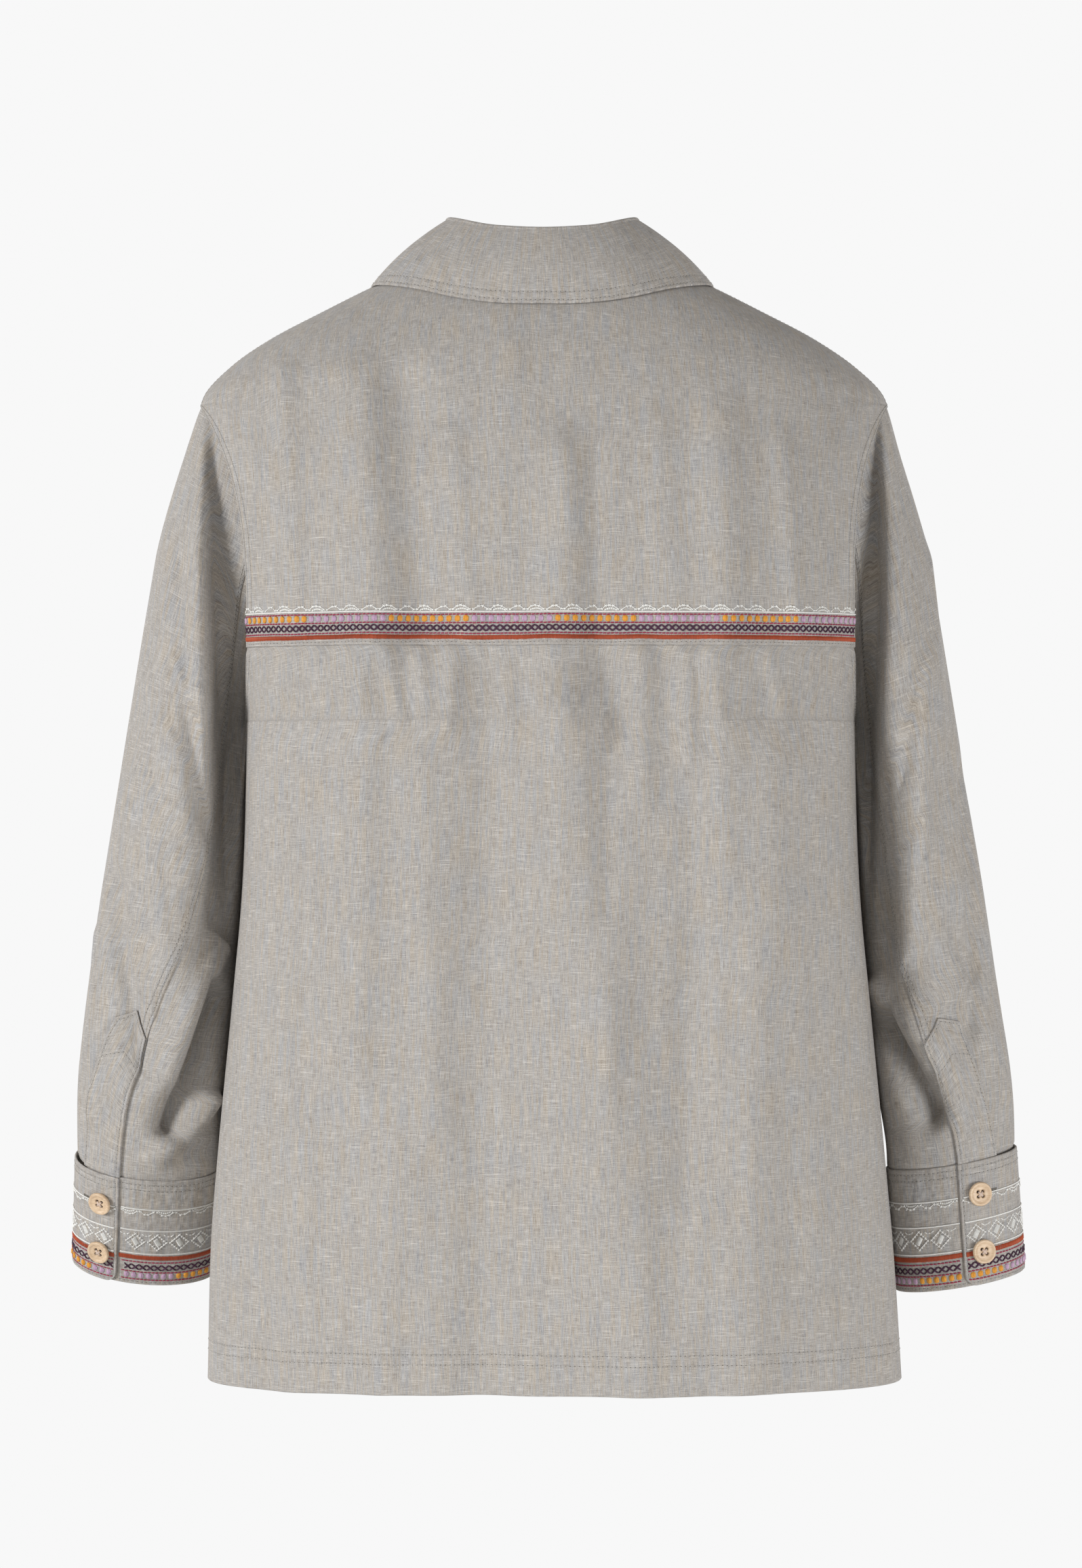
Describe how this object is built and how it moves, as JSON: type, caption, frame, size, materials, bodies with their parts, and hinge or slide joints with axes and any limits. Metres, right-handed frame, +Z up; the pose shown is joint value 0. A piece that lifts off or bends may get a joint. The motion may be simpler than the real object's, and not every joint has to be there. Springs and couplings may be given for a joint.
{
  "type": "embroidered jacket",
  "caption": "Long-sleeved buttoned linen shirt jacket with stitched bands on the back yoke and cuffs, hollow as if worn.",
  "frame": {"origin": "middle of the neck opening, level with the neck ends of the shoulder seams, where a wearer carries the jacket", "axes": "+Z up, +Y to the back of the jacket, +X to the wearer's left"},
  "size_m": [0.6314, 0.2495, 0.7585],
  "materials": {
    "linen": "grey melange plain weave with slubs, matte",
    "button": "light turned wood, satin"
  },
  "bodies": {
    "root": {"yoke": "linen", "back": "linen", "front_left": "linen", "front_right": "linen", "front_band": "linen", "collar_stand": "linen", "collar_leaf": "linen", "front_button_1": "button", "front_button_2": "button", "front_button_3": "button", "front_button_4": "button", "front_button_5": "button", "front_button_6": "button", "front_button_7": "button", "top_sleeve_left": "linen", "under_sleeve_left": "linen", "sleeve_placket_left": "linen", "cuff_left": "linen", "cuff_button_left_1": "button", "cuff_button_left_2": "button", "top_sleeve_right": "linen", "under_sleeve_right": "linen", "sleeve_placket_right": "linen", "cuff_right": "linen", "cuff_button_right_1": "button", "cuff_button_right_2": "button"}
  },
  "joints": []
}
